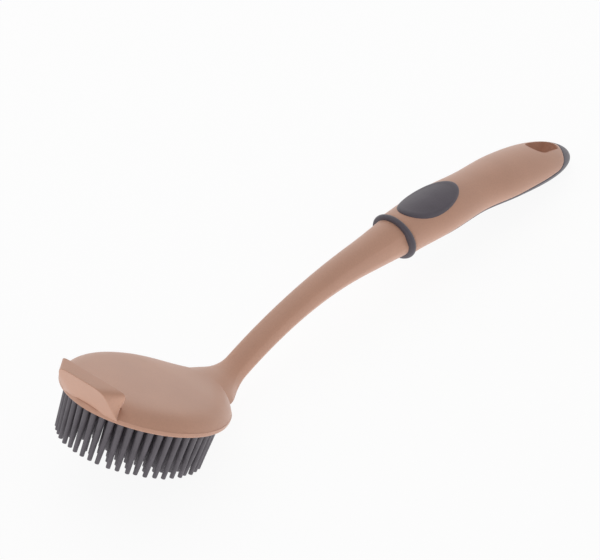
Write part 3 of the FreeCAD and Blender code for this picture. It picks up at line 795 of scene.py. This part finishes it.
def handle_halves(distance):
    """Half width and half thickness of the handle at a distance from its front.

    Smooth steps join the front, thumb, waist and palm sizes. From the palm to the butt they
    fall as the root of one less a power of the way gone.
    """
    share = np.clip(np.asarray(distance, float) / HANDLE_LENGTH, 0, 1)
    width = np.full(share.shape, HANDLE_MARKS[0][1])
    thickness = np.full(share.shape, HANDLE_MARKS[0][2])
    for (start, w, t), (end, next_w, next_t) in zip(HANDLE_MARKS, HANDLE_MARKS[1:]):
        blend = smooth_step((share - start) / (end - start))
        width = width + (next_w - w) * blend
        thickness = thickness + (next_t - t) * blend
    palm = HANDLE_MARKS[-1][0]
    gone = np.clip((share - palm) / (1 - palm), 0, 1)
    width = width * np.sqrt(1 - gone ** BUTT_WIDTH_POWER)
    thickness = thickness * np.sqrt(1 - gone ** BUTT_THICKNESS_POWER)
    return width / 2, thickness / 2


def handle_skin(distance, angle, inset):
    """Points of the handle's outside: angle 0 is the +Y side and a quarter turn the top."""
    wide, thick = handle_halves(distance)
    upward = (thick - inset) * np.sin(angle)
    return on_line(
        slanted(HANDLE_START + distance, upward, HANDLE_SLANT_FADE),
        (wide - inset) * np.cos(angle),
        upward,
    )


def through_marks(place, marks, heights):
    """Cubic curve through marks, with the mean slope of its two neighbours at each mark."""
    marks, heights = np.array(marks), np.array(heights)
    slope = np.gradient(heights, marks)
    k = np.clip(np.searchsorted(marks, place) - 1, 0, marks.size - 2)
    run = marks[k + 1] - marks[k]
    t = np.clip((place - marks[k]) / run, 0, 1)
    rise = smooth_step(t)
    return (heights[k] * (1 - rise) + heights[k + 1] * rise
            + run * t * (1 - t) * (slope[k] * (1 - t) - slope[k + 1] * t))


def parting_angle(distance, gap):
    """Angle of the parting line above the handle's side, a gap below the line's level."""
    level = through_marks(distance / HANDLE_LENGTH, PARTING_SHARES, PARTING_HEIGHT_SHARES)
    _, thick = handle_halves(distance)
    return np.arcsin(np.clip(level - gap / np.maximum(thick, 1.0), -1.0, 1.0))


def edge_shares(count):
    """Shares from 0 to 1, close together near both ends, and their groove weights."""
    fine = np.array([0.0, 0.006, 0.014, 0.026])
    shares = np.concatenate([fine, np.linspace(0.045, 0.955, count), 1 - fine[::-1]])
    weight = np.zeros(shares.shape)
    weight[:4] = (1.0, 0.45, 0.12, 0.0)
    weight[-4:] = weight[3::-1]
    return shares, weight


def parting_floor(arc, distance, start, gap):
    """Points from a parting arc's end back to its start, level but for a keel round the hole.

    The keel makes the hole's wall the core's. It hangs down to a skin's depth inside the
    outside, and fades by smooth steps beside the hole and along the handle. The gap widens it.
    """
    share = np.linspace(1, -1, 35)[None, 1:-1]
    floor = (arc[:, :1] + arc[:, -1:]) / 2 + (arc[:, -1:] - arc[:, :1]) / 2 * share[..., None]
    wide, thick = handle_halves(distance)
    inset = KEEL_SKIN - gap
    skin = np.sqrt(np.clip(1 - (floor[..., 1] / np.maximum(wide - inset, 0.1)) ** 2, 0, 1))
    deep = np.maximum(thick * np.sin(start) + (thick - inset) * skin, 0)
    begun = smooth_step((distance - KEEL_START) / KEEL_START_RUN)
    there = begun * (1 - smooth_step((distance - KEEL_END) / KEEL_END_RUN))
    beside = 1 - smooth_step((np.abs(floor[..., 1]) - KEEL_HALF_WIDTH - gap) / KEEL_SIDE_RUN)
    _, _, lean = centre_line(HANDLE_START + distance)
    hang = deep * there * beside
    return floor + hang[..., None] * np.stack(np.broadcast_arrays(
        np.sin(lean), 0.0, -np.cos(lean)), axis=-1)


def hole_cutter(handle):
    """Upright prism through the butt: a larger and a smaller arc joined by tangents."""
    reach = handle.hole_length - handle.hole_radius - handle.hole_tip
    slope = math.asin((handle.hole_radius - handle.hole_tip) / reach)
    large = np.linspace(np.pi / 2 - slope, 3 * np.pi / 2 + slope, 48)
    small = np.linspace(-np.pi / 2 + slope, np.pi / 2 - slope, 24)
    along = np.concatenate([
        handle.hole_radius * np.cos(large), handle.hole_tip * np.cos(small) + reach])
    across = np.concatenate([
        handle.hole_radius * np.sin(large), handle.hole_tip * np.sin(small)])
    place = (HANDLE_START + HANDLE_LENGTH - handle.hole_margin - handle.hole_length
             + handle.hole_radius)
    x, z, lean = centre_line(np.array(place))
    level = np.array([-1.0, 1.0])[:, None] * HANDLE_MARKS[-1][2]
    points = np.stack(np.broadcast_arrays(
        x + along * np.cos(lean) - level * np.sin(lean),
        across,
        z + along * np.sin(lean) + level * np.cos(lean),
    ), axis=-1)
    return tube(points)


def pierced(piece, handle):
    """Cut the hanging hole through a piece."""
    cutter = make_mesh("hole_cutter", [hole_cutter(handle)], crease=30)
    cut = piece.modifiers.new("hole", "BOOLEAN")
    cut.operation, cut.solver, cut.object = "DIFFERENCE", "EXACT", cutter
    bpy.context.view_layer.update()
    whole = piece.evaluated_get(bpy.context.evaluated_depsgraph_get())
    mesh = bpy.data.meshes.new_from_object(whole)
    piece.modifiers.clear()
    old, piece.data = piece.data, mesh
    bpy.data.meshes.remove(old)
    used = cutter.data
    bpy.data.objects.remove(cutter)
    bpy.data.meshes.remove(used)
    mesh.name = piece.name
    mesh.shade_smooth()
    mesh.set_sharp_from_angle(angle=math.radians(40))


def core_shell(handle):
    """Rigid core: at each step an arc of the handle's skin above the parting line, closed by
    the parting floor. The steps end where the line reaches the crest."""
    shares, weight = edge_shares(46)
    last = CORE_END_SHARE * HANDLE_LENGTH
    steps = np.concatenate([
        [0.0, 0.002, 0.006, 0.012], np.linspace(0.02, 0.9, 90), np.linspace(0.905, 1.0, 40),
    ])[:, None]
    distance = last * steps
    start = parting_angle(distance, 0.0)
    angle = start + (np.pi - 2 * start) * shares[None, :]
    inset = weight[None, :] * handle.groove * np.ones_like(steps)
    inset[:3] += np.array(FRONT_EDGE_INSETS)[:, None]
    arc = handle_skin(distance, angle, inset)
    return tube(np.concatenate([arc, parting_floor(arc, distance, start, 0.0)], axis=1))


def grip_shell(handle):
    """Soft grip: an arc of the skin below the parting line, closed by the parting floor. Past
    the crest the arc is the whole loop, up to the butt's end."""
    shares, weight = edge_shares(54)
    first = GRIP_START_SHARE * HANDLE_LENGTH
    gone = np.sin(np.linspace(0, np.pi / 2, 26))[1:]
    steps = np.concatenate([
        [0.0, 0.006, 0.016], np.linspace(0.03, 0.8, 70), np.linspace(0.803, 0.93, 44),
        0.93 + 0.0698 * gone])[:, None]
    distance = first + (HANDLE_LENGTH - first) * steps
    start = parting_angle(distance, FIT_GAP)
    angle = np.pi - start + (np.pi + 2 * start) * shares[None, :]
    open_share = np.clip((np.pi / 2 - start) / GROOVE_FADE_ANGLE, 0, 1)
    under = handle_skin(distance, angle, weight[None, :] * handle.groove * open_share)
    return tube(np.concatenate([under, parting_floor(under, distance, start, FIT_GAP)], axis=1))


class MESH_OT_brush_handle(bpy.types.Operator):
    """Make the handle's core"""

    bl_idname = "mesh.brush_handle"
    bl_label = "Handle core"

    def execute(self, context):
        handle = context.scene.brush_handle
        piece = make_mesh("handle_core", [core_shell(handle)], crease=38)
        pierced(piece, handle)
        settle(piece, "handle", taupe_plastic(context.scene))
        return {"FINISHED"}


class MESH_OT_brush_grip(bpy.types.Operator):
    """Make the soft grip along the handle's back"""

    bl_idname = "mesh.brush_grip"
    bl_label = "Back grip"

    def execute(self, context):
        handle = context.scene.brush_handle
        piece = make_mesh("soft_back_grip", [grip_shell(handle)], crease=38)
        pierced(piece, handle)
        settle(piece, "back_grip", grey_rubber(context.scene))
        return {"FINISHED"}


class MESH_OT_brush_pad(bpy.types.Operator):
    """Make the thumb pad"""

    bl_idname = "mesh.brush_pad"
    bl_label = "Thumb pad"

    def execute(self, context):
        """Oval rings on the handle's top, lifted off its skin by a rounded border and a
        slightly dished middle, and closed by the same rings below the skin."""
        handle = context.scene.brush_handle
        proud = handle.pad_proud
        out = np.array(
            [0.15, 0.4, 0.62, 0.74, 0.8, 0.84, 0.88, 0.92, 0.95, 0.97, 0.985, 0.995, 1.0])
        lift = proud * np.array(
            [0.72, 0.72, 0.73, 0.76, 0.84, 0.94, 1.0, 0.99, 0.9, 0.74, 0.5, 0.1, -0.5])
        under = np.array([0.99, 0.7, 0.3])
        out = np.concatenate([out, under])[:, None]
        lift = np.concatenate([lift, np.full(3, -PAD_ROOT)])[:, None]
        around = np.linspace(0, 2 * np.pi, 120, endpoint=False)[None, :]
        distance = handle.pad_centre + handle.pad_length / 2 * out * np.cos(around)
        y = handle.pad_width / 2 * out * np.sin(around)
        wide, thick = handle_halves(distance)
        rise = (thick + lift) * np.sqrt(np.clip(1 - (y / (wide + lift)) ** 2, 0, None))
        shell = tube(on_line(HANDLE_START + distance, y, rise))
        piece = make_mesh("thumb_rest", [shell], crease=45)
        settle(piece, "thumb_pad", grey_rubber(context.scene))
        return {"FINISHED"}


def seen_or_lit(tree):
    """1 where a camera, glossy or transmission ray looks, and 0 where light is gathered."""
    path = add_node(tree, "ShaderNodeLightPath")
    either = add_node(tree, "ShaderNodeMath", {
        0: path.outputs["Is Camera Ray"], 1: path.outputs["Is Glossy Ray"]}, operation="MAXIMUM")
    return add_node(tree, "ShaderNodeMath", {
        0: either.outputs[0], 1: path.outputs["Is Transmission Ray"]}, operation="MAXIMUM").outputs[0]


def add_softbox(name, place, aim, width, power):
    """Square area lamp that faces a point."""
    data = bpy.data.lights.new(name, "AREA")
    data.shape, data.size, data.energy = "SQUARE", width, power
    lamp = bpy.data.objects.new(name, data)
    lamp.location = place
    lamp.rotation_euler = (Vector(aim) - Vector(place)).to_track_quat("-Z", "Y").to_euler()
    bpy.context.scene.collection.objects.link(lamp)


class SCENE_OT_brush_stage(bpy.types.Operator):
    """Make the floor, the light and the camera"""

    bl_idname = "scene.brush_stage"
    bl_label = "Stage"

    def execute(self, context):
        scene = context.scene
        stage, colours = scene.brush_stage, scene.brush_colours
        mesh = bpy.data.meshes.new("floor")
        reach = 3.0
        mesh.from_pydata([
            (-reach, -reach, 0), (reach, -reach, 0), (reach, reach, 0), (-reach, reach, 0),
        ], [], [(0, 1, 2, 3)])
        floor = bpy.data.objects.new("floor", mesh)
        scene.collection.objects.link(floor)
        material, tree = new_material("pale_card")
        card = add_node(tree, "ShaderNodeBsdfDiffuse")
        card.inputs["Color"].default_value = (*colours.floor, 1.0)
        bounce = add_node(tree, "ShaderNodeMapRange", {"Value": seen_or_lit(tree)})
        bounce.inputs["To Min"].default_value = stage.bounce
        glow = add_node(tree, "ShaderNodeEmission", {"Strength": bounce.outputs["Result"]})
        mix = add_node(tree, "ShaderNodeMixShader", {
            1: card.outputs["BSDF"], 2: glow.outputs["Emission"]}, fac=0.92)
        add_node(tree, "ShaderNodeOutputMaterial", {"Surface": mix.outputs["Shader"]})
        mesh.materials.append(material)

        world = bpy.data.worlds.new("studio")
        world.use_nodes = True
        tree = world.node_tree
        tree.nodes.clear()
        lit = add_node(tree, "ShaderNodeBackground", strength=stage.sky)
        white = add_node(tree, "ShaderNodeBackground", strength=1.0)
        for background in (lit, white):
            background.inputs["Color"].default_value = (1.0, 1.0, 1.0, 1.0)
        mix = add_node(tree, "ShaderNodeMixShader", {
            0: seen_or_lit(tree), 1: lit.outputs[0], 2: white.outputs[0]})
        add_node(tree, "ShaderNodeOutputWorld", {"Surface": mix.outputs["Shader"]})
        scene.world = world

        add_softbox("overhead", place=(0.1, 0.45, 1.0), aim=(0.0, 0.0, 0.0), width=1.0, power=stage.key)
        add_softbox("side", place=(-1.0, 0.15, 0.35), aim=(-0.1, 0.0, 0.03), width=0.7, power=stage.side)
        add_softbox("behind", place=(0.7, 0.7, 0.5), aim=(0.0, 0.0, 0.03), width=0.8, power=stage.rim)

        azimuth, elevation = stage.azimuth, stage.elevation
        back = Vector((
            math.sin(azimuth) * math.cos(elevation),
            -math.cos(azimuth) * math.cos(elevation),
            math.sin(elevation),
        ))
        right = Vector((math.cos(azimuth), math.sin(azimuth), 0.0))
        up = back.cross(right)
        cosine, sine = math.cos(stage.roll), math.sin(stage.roll)
        axes = (right * cosine + up * sine, up * cosine - right * sine, back)
        data = bpy.data.cameras.new("camera")
        data.lens = stage.lens
        data.shift_x, data.shift_y = stage.shift
        data.clip_start, data.clip_end = 0.05, 20.0
        camera = bpy.data.objects.new("camera", data)
        place = Vector(stage.aim) + back * stage.distance
        camera.matrix_world = Matrix.Translation(place) @ Matrix(axes).transposed().to_4x4()
        scene.collection.objects.link(camera)
        scene.camera = camera
        scene.view_settings.view_transform = "Standard"
        return {"FINISHED"}


GROUPS = (
    ("brush_head", BrushHead),
    ("brush_bristles", BrushBristles),
    ("brush_handle", BrushHandle),
    ("brush_colours", BrushColours),
    ("brush_stage", BrushStage),
)
STEPS = (
    SCENE_OT_brush_stage,
    MESH_OT_brush_head,
    MESH_OT_brush_bristles,
    MESH_OT_brush_ring,
    MESH_OT_brush_handle,
    MESH_OT_brush_grip,
    MESH_OT_brush_pad,
)


class VIEW3D_PT_brush(bpy.types.Panel):
    """Steps of the brush in the sidebar"""

    bl_idname = "VIEW3D_PT_brush"
    bl_label = "Dish brush"
    bl_space_type = "VIEW_3D"
    bl_region_type = "UI"
    bl_category = "Brush"

    def draw(self, context):
        for step in STEPS:
            self.layout.operator(step.bl_idname)


CLASSES = tuple(group for _, group in GROUPS) + STEPS + (VIEW3D_PT_brush,)


def register():
    for item in CLASSES:
        bpy.utils.register_class(item)
    for name, group in GROUPS:
        setattr(bpy.types.Scene, name, bpy.props.PointerProperty(type=group))


def unregister():
    for name, _ in GROUPS:
        delattr(bpy.types.Scene, name)
    for item in reversed(CLASSES):
        bpy.utils.unregister_class(item)


def main():
    register()
    for step in STEPS:
        group, name = step.bl_idname.split(".")
        getattr(getattr(bpy.ops, group), name)()


if __name__ == "__main__":
    main()
